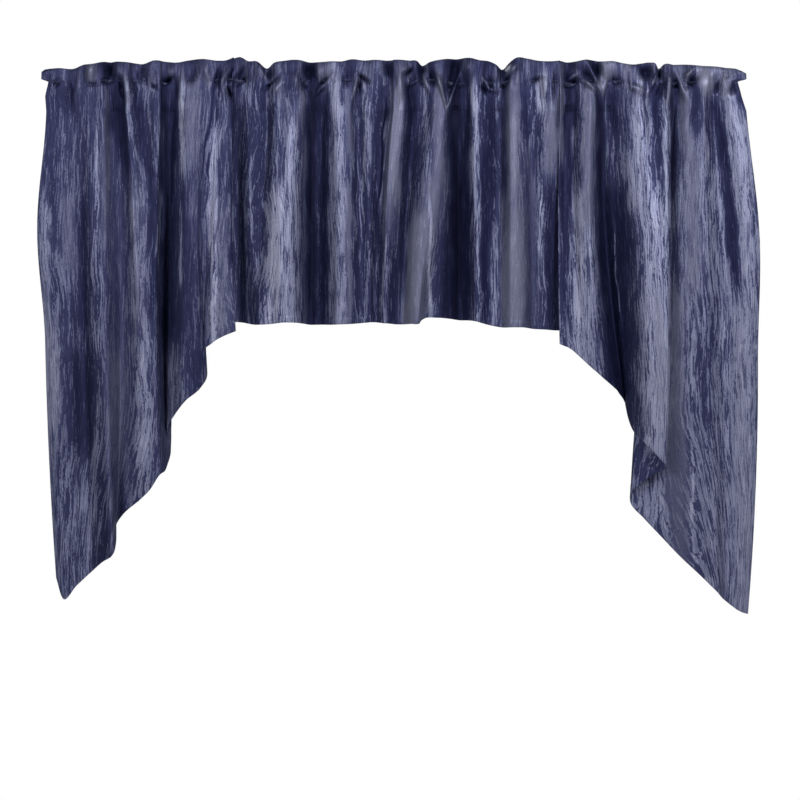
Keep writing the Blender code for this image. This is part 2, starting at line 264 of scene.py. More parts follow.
# Bands of the jacquard's ground, each laid over those before it: where its middle starts and
# ends, its half width in millimetres, its tone from 0, navy, to 1, lavender, and how plain
# it is, from 0, all streaks, to 1, none. The tones are partly the jacquard's own and partly
# painted light: near-black bands along the deepest valleys are painted shade, and some bands
# are lightened as painted light against the folds' shade. Short rows near the top are the
# header's own tones, with painted shade in its pinches and painted highlight on its puffs.
LEFT_BANDS = (
    (-590, 45, -590, -200, 12, 0.34, 0.3),
    (-600, -170, -592, -820, 9, 0.70, 0.4),
    (-566, -60, -560, -180, 12, 0.44, 0.3),
    (-547, 30, -545, -120, 12, 0.38, 0.3),
    (-556, 50, -554, 0, 10, 0.24, 0.5),
    (-561, -165, -558, -310, 16, 0.56, 0.7),
    (-578, -290, -574, -430, 14, 0.44, 0.2),
    (-538, -180, -534, -430, 10, 0.20, 0.3),
    (-521, 66, -518, 16, 11, 0.56, 0.8),
    (-520, 16, -516, -40, 8, 0.44, 0.5),
    (-505, 66, -502, 24, 8, 0.12, 0.7),
    (-496, -10, -495, -260, 11, 0.54, 0.8),
    (-512, -50, -511, -260, 3.5, 0.66, 0.0),
    (-512, -270, -508, -430, 8, 0.50, 0.1),
    (-480, -170, -477, -430, 14, 0.36, 0.8),
    (-475, 24, -471, -120, 15, 0.12, 0.6),
    (-464, 14, -444, -120, 3.5, 0.66, 0.1),
    (-446, 0, -424, -130, 8, 0.14, 0.4),
    (-420, 24, -416, -60, 8, 0.46, 0.5),
    (-448, -110, -444, -200, 9, 0.44, 0.7),
    (-442, -150, -440, -430, 15, 0.60, 0.5),
    (-418, -100, -416, -380, 8, 0.22, 0.3),
    (-450, -190, -447, -380, 4, 0.76, 0.0),
    (-407, -60, -407, -300, 2.5, 0.50, 0.0),
    (-432, -390, -430, -700, 15, 0.72, 0.1),
    (-468, -400, -462, -660, 12, 0.46, 0.7),
    (-448, 66, -446, 26, 11, 0.40, 0.9),
    (-421, 66, -418, 30, 9, 0.42, 0.8),
    (-394, 66, -394, 32, 9, 0.34, 1.0),
    # Painted shade over the jacquard's dark ground: a near-black band along the valley between the
    # folds at -400 and -391.
    (-396, 30, -397, -430, 7, 0.00, 0.8),
    (-397, -270, -397, -430, 7, 0.12, 0.9),
    (-398, -430, -397, -660, 6, 0.36, 0.9),
    (-391, -540, -391, -620, 6, 0.52, 0.8),
    (-384, 10, -384, -430, 7, 0.12, 0.6),
    (-350, 40, -348, -130, 15, 0.60, 0.8),
    (-368, 10, -366, -135, 5, 0.94, 0.0),
    (-348, 66, -350, 36, 8, 0.24, 0.7),
    (-363, -150, -360, -430, 18, 0.22, 0.5),
    (-344, -120, -341, -250, 12, 0.42, 0.6),
    (-369, -150, -367, -330, 3, 0.60, 0.0),
    (-380, -430, -380, -570, 15, 0.60, 0.4),
    (-344, -430, -346, -500, 10, 0.24, 0.4),
    (-322, 50, -326, -60, 8, 0.50, 0.6),
    (-304, 40, -316, 10, 4, 0.12, 0.5),
    (-300, 30, -324, -140, 3, 0.10, 0.2),
    (-309, 30, -335, -140, 2.5, 0.16, 0.2),
    (-302, -180, -299, -440, 22, 0.58, 0.6),
    (-307, -50, -318, -200, 8, 0.80, 0.1),
    (-314, -190, -310, -440, 6, 0.86, 0.0),
    (-283, 66, -283, 24, 8, 0.10, 0.6),
    (-278, 20, -279, -300, 6, 0.14, 0.4),
    (-586, -390, -583, -570, 13, 0.76, 0.6),
    (-540, -440, -534, -620, 24, 0.20, 0.4),
    (-484, -430, -478, -640, 15, 0.56, 0.8),
    (-545, -620, -548, -880, 42, 0.54, 0.1),
    (-496, -640, -504, -800, 12, 0.36, 0.1),
    (-514, -560, -522, -760, 6, 0.66, 0.0),
    (-478, -600, -480, -730, 9, 0.50, 0.6),
    (-505, -520, -516, -700, 4, 0.62, 0.0),
    (-572, 10, -570, -34, 15, 0.24, 0.4),
    (-506, 6, -508, -30, 12, 0.36, 0.4),
    (-482, 32, -480, -70, 8, 0.03, 0.8),
    (-464, 32, -460, -4, 5, 0.64, 0.3),
    (-380, 18, -380, -70, 7, 0.10, 0.8),
    (-365, 66, -362, 36, 7, 0.30, 0.7),
    (-277, 6, -278, -60, 6, 0.04, 0.8),
)

FAN_COLUMNS = ("x", "start", "end", "reach", "share")

# Where the streaks lean: towards a line down the cloth, or away from it where the share is
# below nothing, one row each: the line's place across, the lengths of cloth below the header
# where the lean starts and is full, how far from the line it reaches, and its share.
LEFT_FANS = (
    (-598, 550, 900, 130, 0.9),
    (-282, 60, 300, 60, -0.4),
)

# The panel's facts. Ground is the tone and plainness between its bands, and the offset is
# where in the pattern it is cut. Steps are the mesh columns for each row of its folds, and
# rows the mesh rows below the pocket. The outer end is a column. Its bow is how far it swells
# across below the pocket, and its shifts are how far across it stands at the lower seam, the
# middle of the pocket, the upper seam and the header.
LEFT = {
    "name": "left_swag_cloth",
    "nodes": ("left_heading", "left_swag"),
    "folds": LEFT_FOLDS,
    "ruffles": LEFT_RUFFLES,
    "creases": LEFT_CREASES,
    "bands": LEFT_BANDS,
    "ground": (0.42, 0.3),
    "fans": LEFT_FANS,
    "pattern_offset": (0.0, 0.0),
    "steps": 14,
    "rows": 74,
    "outer_end": 0,
    "bow": -12 * MM,
    "shifts": {"low": 0.0, "middle": -2 * MM, "high": 3 * MM, "edge": -9 * MM},
}


def read_table(names, rows):
    """Columns of a table, as arrays under their names."""
    return dict(zip(names, np.array(rows, dtype=float).T))


def smooth_curve(knots, values, places):
    """Cubic curve through the values at the knots, read at the given places.

    The slope at a knot is the mean of its two spans' slopes, each weighted by the other
    span's length, so tight turns beside wide folds stay round.
    """
    spans = np.diff(knots)[:, None]
    slopes = np.diff(values, axis=0) / spans
    inner = (spans[1:] * slopes[:-1] + spans[:-1] * slopes[1:]) / (spans[1:] + spans[:-1])
    slope = np.vstack([slopes[:1], inner, slopes[-1:]])
    index = np.clip(np.searchsorted(knots, places, side="right") - 1, 0, len(spans) - 1)
    width = spans[index]
    t = (places - knots[index])[:, None] / width
    start, end = values[index], values[index + 1]
    lead = t * (1 - t) * (1 - t) * width * slope[index]
    trail = t * t * (t - 1) * width * slope[index + 1]
    return start + (end - start) * t * t * (3 - 2 * t) + lead + trail


def fold_curves(panel):
    """The fold table as smooth curves over the mesh columns, and each column's cloth place.

    A place is the length of cloth from the panel's left edge, halfway down.
    """
    folds = read_table(FOLD_COLUMNS, panel["folds"])
    folds = {name: values * MM for name, values in folds.items()}
    across = np.hypot(np.diff(folds["x_mid"]), np.diff(folds["out_mid"]))
    knots = np.concatenate([[0.0], np.cumsum(across)])
    count = (len(knots) - 1) * panel["steps"] + 1
    places = np.interp(np.arange(count) / panel["steps"], np.arange(len(knots)), knots)
    values = np.stack([folds[name] for name in FOLD_COLUMNS], axis=1)
    return dict(zip(FOLD_COLUMNS, smooth_curve(knots, values, places).T)), places


def down_the_cloth(curves, kind, v):
    """Value at share v of the drop: the parabola through its top, middle and low values."""
    top = (1 - v) * (1 - 2 * v)
    mid = 4 * v * (1 - v)
    low = v * (2 * v - 1)
    columns = [curves[f"{kind}_{level}"][:, None] for level in ("top", "mid", "low")]
    return columns[0] * top + columns[1] * mid + columns[2] * low


# The plane that gathers lift off from, and how softly their lift starts.
CLOTH_PLANE = 6 * MM
GATHER_EASE = 6 * MM


def gather_lift(out):
    """How far a gather stands off the rod: the part of a fold before the cloth's plane."""
    reach = out - CLOTH_PLANE
    return (reach + np.hypot(reach, GATHER_EASE)) / 2


def pocket_wall(height, seam, middle, curl):
    """Place out of a pocket wall: on a seam at its ends, round the rod between."""
    spread = 1 - np.abs(2 * height - 1) ** curl
    return middle * spread + seam * (1 - spread)


# Slow waves of the upper seam, where gathers tug at it: reach and length in millimetres, and
# where they start.
SEAM_WAVES = ((2.2, 27, 0.0), (1.5, 11, 2.0))


def seam_height(x):
    """Height of the upper seam: the pocket's, with its slow waves."""
    waves = sum(reach * np.sin(x / (length * MM) + start) for reach, length, start in SEAM_WAVES)
    return POCKET_HEIGHT / 2 + waves * MM


def ease(value, start, end):
    """Smooth step from 0 at the start to 1 at the end."""
    t = np.clip((value - start) / (end - start), 0.0, 1.0)
    return t * t * (3 - 2 * t)


# Shares of a gather's lift that the pocket's walls, the upper seam and the header's edge take.
FRONT_GATHER = 0.85
BACK_GATHER = 0.35
SEAM_GATHER = 0.5
EDGE_GATHER = 0.3

# The share of its way to the front wall that the upper seam is drawn out, and what a crest
# adds to that share over a pinch, which is this deep.
SEAM_BRIDGE = 0.5
CREST_BRIDGE = 0.25
PINCH = 4 * MM


def top_lines(panel, curves):
    """Lines that shape the pocket and the header, each a column of values.

    They are the height of the top edge, and the places out of that edge, the upper seam and
    the pocket's front and back. The table of ruffles gives the first three, and the rod the
    others. Each place is carried out by its share of the gather's lift. Last, a seam that is
    behind the front wall is drawn a share of the way out to it.
    """
    ruffles = read_table(RUFFLE_COLUMNS, panel["ruffles"])
    values = np.stack([ruffles[name] * MM for name in RUFFLE_COLUMNS[1:]], axis=1)
    top, edge, seam = smooth_curve(ruffles["x"] * MM, values, curves["x_top"]).T
    lift = gather_lift(curves["out_top"])
    front = ROD_HALF + FRONT_GATHER * lift
    back = -ROD_HALF - BACK_GATHER * lift
    edge = edge + EDGE_GATHER * lift
    seam = seam + SEAM_GATHER * lift
    bridge = SEAM_BRIDGE + CREST_BRIDGE * ease(seam, -PINCH, PINCH)
    seam = seam + bridge * np.clip(front - seam, 0.0, None)
    return [line[:, None] for line in (top, edge, seam, front, back)]


# How far each of the header's layers puffs out, and its belly forward, with the share of it
# on an upright header, the most of it, and the lean of the edge that adds a whole one.
HEADER_PUFF = 1.6 * MM
HEADER_BELLY = 3.0 * MM
BELLY_UPRIGHT = 0.5
BELLY_MOST = 1.5
BELLY_LEAN = 6 * MM


def header_layers(edge, seam, up):
    """Places out of the header's back and front layer, at shares up from seam to edge.

    Between them the header goes straight from the seam to the edge, with a half wave of
    belly. Each layer stands off that by a puff that opens evenly from the seam and closes in
    a rounded end at the edge.
    """
    belly = HEADER_BELLY * np.clip((edge - seam) / BELLY_LEAN + BELLY_UPRIGHT, 0.0, BELLY_MOST)
    middle = seam + (edge - seam) * up + belly * np.sin(np.pi * up)
    opening = LAYER_GAP + (HEADER_PUFF - LAYER_GAP) * up
    closing = HEADER_PUFF * np.sqrt(np.clip(1 - up**4, 0.0, 1.0)) + LAYER_GAP * (1 - up)
    puff = np.minimum(closing, opening)
    return middle - puff, middle + puff


# The height over which the header's shift sets in at the outer end, and also turns back at
# the top, with the share that it turns back.
NUB_FOOT = 5 * MM
NUB_BACK = 0.4


def end_shifts(panel, z, seam_z, top):
    """How far the outer end is shifted across, at each point of the pocket and the header.

    The shift goes straight between its values up the pocket. Above the seam a smooth step
    takes it to the header's value, and another turns it part of the way back at the top.
    """
    shifts = panel["shifts"]
    half = POCKET_HEIGHT / 2
    share = (z + half) / (seam_z + half)
    up_pocket = np.interp(share, (0.0, 0.5, 1.0), [shifts[k] for k in ("low", "middle", "high")])
    nub = ease(z, seam_z, seam_z + NUB_FOOT) - NUB_BACK * ease(z, top - NUB_FOOT, top)
    return up_pocket + (shifts["edge"] - shifts["high"]) * nub


# How the mesh rows of the hanging cloth crowd to its foot, and the heights of the last ones
# above the hem in millimetres, which spread out where it slants, at most this many times.
HANGING_CROWD = 0.93
HEM_STEPS = (0.0, 1.5, 4.0, 7.0, 9.5, 11.0, 13.0)
SLANT_MOST = 2.5


def hanging_levels(panel, curves, places):
    """Shares of the drop for each column: even steps, and the last rows along the hem."""
    drop = -POCKET_HEIGHT / 2 - curves["hem"]
    slant = np.clip(np.hypot(1.0, np.gradient(curves["hem"], places)), 1.0, SLANT_MOST)
    hem_rows = 1 - np.array(HEM_STEPS[::-1])[None, :] * MM * (slant / drop)[:, None]
    even = np.linspace(0.0, 1.0, panel["rows"])[None, 1:-1] ** HANGING_CROWD
    return np.hstack([even * hem_rows[:, :1], hem_rows]), slant


# Mesh rows up the pocket's back, up the header and down the pocket's front, and how the
# header's crowd to its edge.
BACK_LEVELS = 8
HEADER_LEVELS = 18
POCKET_LEVELS = 26
HEADER_CROWD = 1.4

# How squarely the pocket's front wall turns round the rod below and above its middle, and how
# squarely its back wall does.
FRONT_CURL = 2.6
SEAM_CURL = 2.2
BACK_CURL = 6

# How far in from the outer end its shifts reach, and the bow of its edge below them.
END_REACH = 30 * MM
BOW_REACH = 55 * MM


def panel_points(panel, curves, places):
    """Grids of x, out and z of one length of cloth, mesh columns by levels.

    The levels go up the pocket's back from the lower seam, up the header's back, over its
    fold, down the header and the pocket's front, and down the hanging cloth to the hem. The
    hanging cloth's outer edge bows out by a squared wave over the upper half of its drop.
    """
    x, low = curves["x_top"][:, None], curves["out_top"][:, None]
    top, edge, seam, front, back = top_lines(panel, curves)
    rise = np.linspace(0.0, 1.0, BACK_LEVELS)[None, :]
    up = 1 - (1 - np.linspace(0.0, 1.0, HEADER_LEVELS + 1))[None, 1:] ** HEADER_CROWD
    fall = np.linspace(1.0, 0.0, POCKET_LEVELS)[None, 1:]
    v, slant = hanging_levels(panel, curves, places)

    seam_back = np.where(rise < 0.5, low - 2 * LAYER_GAP, seam - LAYER_GAP)
    seam_front = np.where(fall < 0.5, low, seam + LAYER_GAP)
    back_layer, front_layer = header_layers(edge, seam, up)
    out = np.hstack([
        pocket_wall(rise, seam_back, back, BACK_CURL),
        back_layer,
        front_layer[:, -2::-1],
        seam + LAYER_GAP,
        pocket_wall(fall, seam_front, front, np.where(fall < 0.5, FRONT_CURL, SEAM_CURL)),
        down_the_cloth(curves, "out", v),
    ])

    half = POCKET_HEIGHT / 2
    seam_z = seam_height(x)
    header_z = seam_z + (top - seam_z) * up
    top_z = np.hstack([
        -half + (seam_z + half) * rise,
        header_z,
        header_z[:, -2::-1],
        seam_z,
        -half + (seam_z + half) * fall,
    ])
    z = np.hstack([top_z, -half + (curves["hem"][:, None] + half) * v])

    near_end = np.exp(-(((x - x[panel["outer_end"]]) / END_REACH) ** 2))
    top_x = x + end_shifts(panel, top_z, seam_z, top) * near_end
    from_end = np.abs(places - places[panel["outer_end"]])[:, None]
    bow = panel["bow"] * np.where(v < 0.5, np.sin(2 * np.pi * v) ** 2, 0.0)
    hang_x = down_the_cloth(curves, "x", v) + bow * np.exp(-((from_end / BOW_REACH) ** 2))
    return np.hstack([top_x, hang_x]), out, z, slant


# Fine gathers along the header's seam: depth and length in millimetres, and the strength,
# length in millimetres and start of a slow wave that shifts them. Then the least of their
# strength, the length and start of its drift, and how far they reach from the seam.
FINE_GATHERS = ((1.2, 2.7, 1.4, 23, 0.0), (0.8, 1.8, 2.1, 31, 1.0))
GATHER_LEAST = 0.35
GATHER_DRIFT = 49 * MM
GATHER_START = 0.8
PUCKER_REACH = 13 * MM


def fine_gathers(x, z):
    """Small upright gathers that the header's seam draws in: two waves across, whose strength
    drifts along the seam and dies away above and below it.
    """
    waves = 0.0
    for depth, length, drift, drift_length, start in FINE_GATHERS:
        shifted = drift * np.sin(x / (drift_length * MM) + start)
        waves = waves + depth * MM * np.sin(x / (length * MM) + shifted)
    strength = GATHER_LEAST + (1 - GATHER_LEAST) * np.sin(x / GATHER_DRIFT + GATHER_START) ** 2
    return waves * strength * np.exp(-(((z - seam_height(x)) / PUCKER_REACH) ** 2))


def crease_depths(panel, x, z):
    """How far the header's creases and fine gathers move each point out.

    A crease is a round-ended stroke: its depth, times a bell over its width, times a bell
    over its length, in axes turned by its lean. The pocket's back, the first levels, has none.
    """
    depths = fine_gathers(x, z)
    creases = read_table(CREASE_COLUMNS, panel["creases"])
    for x0, z0, lean, length, width, depth in zip(*creases.values()):
        turn = math.radians(lean)
        dx, dz = x - x0 * MM, z - z0 * MM
        along = dz * math.cos(turn) + dx * math.sin(turn)
        across = dx * math.cos(turn) - dz * math.sin(turn)
        depths += depth * MM * np.exp(-((across / (width * MM)) ** 2) - (along / (length * MM)) ** 2)
    depths[:, :BACK_LEVELS] = 0.0
    return depths


# Creases stay before the rod. From the first height off its line that limit eases, and from
# the second it lies this far behind.
ROD_REACH = (14 * MM, 32 * MM)
FREE_BACK = 60 * MM


def clear_of_rod(out, depths, z):
    """Places out with the creases added, but not behind the rod's front where the rod is.

    Above and below the rod that limit falls back by a smooth step.
    """
    limit = ROD_HALF - FREE_BACK * ease(np.abs(z), *ROD_REACH)
    return np.maximum(out + depths, np.minimum(out, limit))


# The sides of the bands: their waves, as reach, length down and length across in millimetres,
# and how squarely a streaky and a plain band end there. Then how softly their two ends fade.
BAND_WAVES = ((1.7, 21, 17), (0.7, 9, -11))
STREAKY_SIDE = 4.0
PLAIN_SIDE = 2.2
BAND_FADE = 9 * MM

# The header's plainness, the share of the way that its cloth is drawn to it, and the heights
# between which that sets in.
HEADER_PLAIN = 0.8
HEADER_PLAIN_SHARE = 0.6
HEADER_FOOT = (18 * MM, 30 * MM)


def band_tones(panel, x, z):
    """Tone and plainness of the ground at each point, from the panel's table of bands.

    A band's mask is a flat-topped bell over its half width, round a middle line that runs
    straight from its upper to its lower end, times a soft step at each end. Two slow waves
    down the cloth make its sides uneven.
    """
    waves = sum(
        reach * np.sin(z / (down * MM) + x / (across * MM)) for reach, down, across in BAND_WAVES
    )
    x = x + waves * MM
    tone, plain = (np.full(x.shape, value) for value in panel["ground"])
    bands = read_table(BAND_COLUMNS, panel["bands"])
    for x_high, z_high, x_low, z_low, half, band_tone, band_plain in zip(*bands.values()):
        below = np.clip((z_high * MM - z) / ((z_high - z_low) * MM), 0.0, 1.0)
        middle = (x_high + (x_low - x_high) * below) * MM
        side = STREAKY_SIDE + (PLAIN_SIDE - STREAKY_SIDE) * band_plain
        mask = np.exp(-(np.abs((x - middle) / (half * MM)) ** side))
        mask = mask / (1 + np.exp((z - z_high * MM) / BAND_FADE))
        mask = mask / (1 + np.exp((z_low * MM - z) / BAND_FADE))
        # Besides the jacquard's own tones, the bands lay painted shade along deep valleys and
        # painted light where the folds' shade is lifted.
        tone += (band_tone - tone) * mask
        plain += (band_plain - plain) * mask
    plain += (HEADER_PLAIN - plain) * HEADER_PLAIN_SHARE * ease(z, *HEADER_FOOT)
    return tone, plain


def grid_quads(columns, levels):
    """Quads between neighbouring mesh columns, wound so that the cloth's right side is out."""
    column, level = np.meshgrid(np.arange(columns - 1), np.arange(levels - 1), indexing="ij")
    first = column * levels + level
    return np.stack([first + 1, first + levels + 1, first + levels, first], axis=2).reshape(-1, 4)


def cut_lengths(x, out, z):
    """Length of cloth from the header's fold down each column, below nothing at the back."""
    steps = np.sqrt(np.diff(x) ** 2 + np.diff(out) ** 2 + np.diff(z) ** 2)
    length = np.hstack([np.zeros((len(x), 1)), np.cumsum(steps, axis=1)])
    fold = BACK_LEVELS + HEADER_LEVELS - 1
    return length - length[:, fold:fold + 1]


def fanned_places(panel, curves, places, u, v):
    """Place across the pattern at each point, with the panel's fans of streaks.

    A fan adds its share of the distance from its line, times a smooth step down the cloth,
    times a bell over its reach.
    """
    fans = read_table(FAN_COLUMNS, panel["fans"])
    across = u
    for x, start, end, reach, share in zip(*fans.values()):
        line = places[np.argmin(np.abs(curves["x_mid"] - x * MM))]
        step = ease(v, start * MM, end * MM)
        across = across + share * step * (u - line) * np.exp(-(((u - line) / (reach * MM)) ** 2))
    return across


def cloth_object(panel, points, pattern, tints):
    """An object of one grid of points, in satin on both sides.

    The pattern's places are its UV map, and each of the tints is a named value of its points.
    """
    name = panel["name"]
    mesh = bpy.data.meshes.new(name)
    mesh.from_pydata(points.reshape(-1, 3).tolist(), [], grid_quads(*points.shape[:2]).tolist())
    mesh.shade_smooth()
    offset = panel["pattern_offset"]
    mesh.materials.append(satin_material(f"{name}_right_side", offset))
    mesh.materials.append(satin_material(f"{name}_wrong_side", offset, reverse=True))
    corners = np.empty(len(mesh.loops), dtype=np.int32)
    mesh.loops.foreach_get("vertex_index", corners)
    layer = mesh.uv_layers.new(name=PATTERN_MAP)
    layer.uv.foreach_set("vector", pattern.reshape(-1, 2)[corners].ravel())
    for tint, values in tints.items():
        attribute = mesh.attributes.new(tint, "FLOAT", "POINT")
        attribute.data.foreach_set("value", values.ravel())
    thing = bpy.data.objects.new(name, mesh)
    bpy.context.scene.collection.objects.link(thing)
    return thing


def add_thickness(thing, doubled):
    """The cloth's thickness, even to both sides, and twice that where a hem doubles it.

    Its wrong side takes the second material. Normals are weighted by area, so that the faces
    along the thin edges don't darken the cloth beside them.
    """
    hem = thing.vertex_groups.new(name="hem")
    hem.add(np.flatnonzero(doubled).tolist(), 1.0, "REPLACE")
    sheet = thing.modifiers.new("thickness", "SOLIDIFY")
    sheet.thickness = HEM_THICK
    sheet.offset = 0.0
    sheet.material_offset = 1
    sheet.vertex_group = "hem"
    sheet.thickness_vertex_group = CLOTH / HEM_THICK
    thing.modifiers.new("flat_edges", "WEIGHTED_NORMAL")


# The tone that a crease adds for each metre of its depth: painted shade, darker, in its trough
# and painted highlight, lighter, on its ridge, and on the fine gathers too.
CREASE_PAINTED_SHADE_AND_HIGHLIGHT = 26.0


def add_panel(panel):
    """One length of cloth as a piece that stands for its heading and its hanging cloth.

    Its pattern's places are u across, the length along the folds halfway down, and v down,
    the length from the header's fold. The foot and both sides of the cloth are hemmed.
    """
    curves, places = fold_curves(panel)
    x, out, z, slant = panel_points(panel, curves, places)
    depths = crease_depths(panel, x, z)
    out = clear_of_rod(out, depths, z)
    v = cut_lengths(x, out, z)
    u = np.broadcast_to(places[:, None], v.shape)
    pattern = np.stack([fanned_places(panel, curves, places, u, v), -v], axis=2)
    tone, plain = band_tones(panel, x, z)
    # The creases' depths also darken troughs and lighten ridges in the tone: painted shade and
    # painted highlight.
    tints = {"tone": np.clip(tone + CREASE_PAINTED_SHADE_AND_HIGHLIGHT * depths, 0.0, 1.0), "plain": plain}
    thing = cloth_object(panel, np.stack([x, -out, z], axis=2), pattern, tints)
    from_hem = (v[:, -1:] - v) / slant[:, None]
    from_side = np.minimum(u, places[-1] - u)
    add_thickness(thing, np.minimum(from_hem, from_side) < HEM_DEPTH)
    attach(thing, "root")
    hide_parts(*panel["nodes"])


# The jacquard's colours, from the deepest navy of its ground to the palest of its floats, each
# with the level where it stands on the scale from 0 to 1. Plain stretches are a little greyer.
SATIN_COLOURS = (
    (0.00, (0.005, 0.006, 0.021, 1.0)),
    (0.18, (0.012, 0.014, 0.048, 1.0)),
    (0.38, (0.040, 0.045, 0.108, 1.0)),
    (0.60, (0.108, 0.120, 0.212, 1.0)),
    (0.82, (0.216, 0.232, 0.352, 1.0)),
    (1.00, (0.350, 0.358, 0.480, 1.0)),
)
PLAIN_COLOURS = (
    (0.00, (0.006, 0.006, 0.014, 1.0)),
    (0.18, (0.012, 0.013, 0.044, 1.0)),
    (0.38, (0.041, 0.045, 0.107, 1.0)),
    (0.60, (0.120, 0.126, 0.200, 1.0)),
    (0.82, (0.232, 0.240, 0.335, 1.0)),
    (1.00, (0.360, 0.366, 0.475, 1.0)),
)


def new_group(name, inputs, outputs):
    """An empty shader node group, with its input and output nodes."""
    group = bpy.data.node_groups.new(name, "ShaderNodeTree")
    for socket, kind, value in inputs:
        made = group.interface.new_socket(name=socket, in_out="INPUT", socket_type=kind)
        if value is not None:
            made.default_value = value
    for socket, kind in outputs:
        group.interface.new_socket(name=socket, in_out="OUTPUT", socket_type=kind)
    return group, group.nodes.new("NodeGroupInput"), group.nodes.new("NodeGroupOutput")


def feed(tree, socket, value):
    """Link a value that is another node's output, or set it where it is a number."""
    if isinstance(value, bpy.types.NodeSocket):
        tree.links.new(value, socket)
    else:
        socket.default_value = value


def math_node(tree, operation, *values):
    """The result of one operation on numbers, each a value or another node's output."""
    node = tree.nodes.new("ShaderNodeMath")
    node.operation = operation
    for socket, value in zip(node.inputs, values):
        feed(tree, socket, value)
    return node.outputs[0]


def vector_node(tree, operation, *values):
    """The result of one operation on vectors, each a value or another node's output."""
    node = tree.nodes.new("ShaderNodeVectorMath")
    node.operation = operation
    for socket, value in zip(node.inputs, values):
        feed(tree, socket, value)
    return node.outputs[0]


def soft_step(tree, value, start, end):
    """A number that goes smoothly from 0 at the start to 1 at the end."""
    node = tree.nodes.new("ShaderNodeMapRange")
    node.interpolation_type = "SMOOTHSTEP"
    for socket, number in zip(node.inputs, (value, start, end, 0.0, 1.0)):
        feed(tree, socket, number)
    return node.outputs[0]


def noise(tree, place, cells, detail=2.0, roughness=0.5):
    """Flat noise over the cloth, with so many cells to the metre across and down it."""
    node = tree.nodes.new("ShaderNodeTexNoise")
    node.noise_dimensions = "2D"
    scaled = vector_node(tree, "MULTIPLY", place, (*cells, 1.0))
    feed(tree, node.inputs["Vector"], scaled)
    node.inputs["Scale"].default_value = 1.0
    node.inputs["Detail"].default_value = detail
    node.inputs["Roughness"].default_value = roughness
    return node.outputs["Fac"], node.outputs["Color"]


def wander(tree, place, cells, reach):
    """The place on the cloth, shifted by noise, at most by half the given reach."""
    _, colour = noise(tree, place, cells)
    centred = vector_node(tree, "SUBTRACT", colour, (0.5, 0.5, 0.5))
    shift = vector_node(tree, "MULTIPLY", centred, (*reach, 0.0))
    return vector_node(tree, "ADD", place, shift)


def folded(tree, value):
    """Noise folded at its middle: 0 along its level line, which winds and branches."""
    return math_node(tree, "ABSOLUTE", math_node(tree, "MULTIPLY_ADD", value, 2.0, -1.0))


# How streaks wander, each with cells to the metre and reach in metres, across and down: the
# long lean of all of them, the crooks of their sides, and the crossing of the narrow ones.
LEANING = ((5.0, 6.0), (0.020, 0.0))
CROOKED = ((210.0, 70.0), (0.0030, 0.010))
CROSSING = ((9.0, 9.0), (0.012, 0.0))

# The noises of the streaks and of the weave, in cells to the metre across and down. The
# streaks' finer cells have this weight.
BROAD_CELLS = (100.0, 10.0)
NARROW_CELLS = (330.0, 18.0)
RAGGED_CELLS = (420.0, 150.0)
CRACK_CELLS = (260.0, 10.0)
THREAD_CELLS = (620.0, 30.0)
GRAIN_CELLS = (800.0, 420.0)
WARP_CELLS = (2400.0, 260.0)
WEFT_CELLS = (240.0, 1500.0)
FINER_WEIGHT = 0.6

# What each noise and the tone add to the sum that parts floats from ground, and the soft
# edges of the floats and the palest floats in that sum, and of the cracks and the threads.
BROAD_SHARE = 0.36
NARROW_SHARE = 0.46
RAGGED_SHARE = 0.18
TONE_SHARE = 0.31
FLOAT_EDGE = (0.643, 0.667)
PALEST_EDGE = (0.735, 0.755)
CRACK_EDGE = (0.04, 0.11)
THREAD_EDGE = (0.62, 0.68)

# Levels that grow evenly with the tone, as slope and start: the ground's, the floats' above
# it, and plain cloth's. Then what the palest floats and the threads add, what a crack takes
# away and leaves of a float, and the grain's slope and start.
GROUND_LEVEL = (0.28, 0.15)
FLOAT_RISE = (0.12, 0.32)
PLAIN_LEVEL = (0.78, 0.08)
PALEST_RISE = 0.10
THREAD_RISE = 0.12
CRACK_LEVEL = (0.75, 0.25)
GRAIN_LEVEL = (0.36, 0.82)


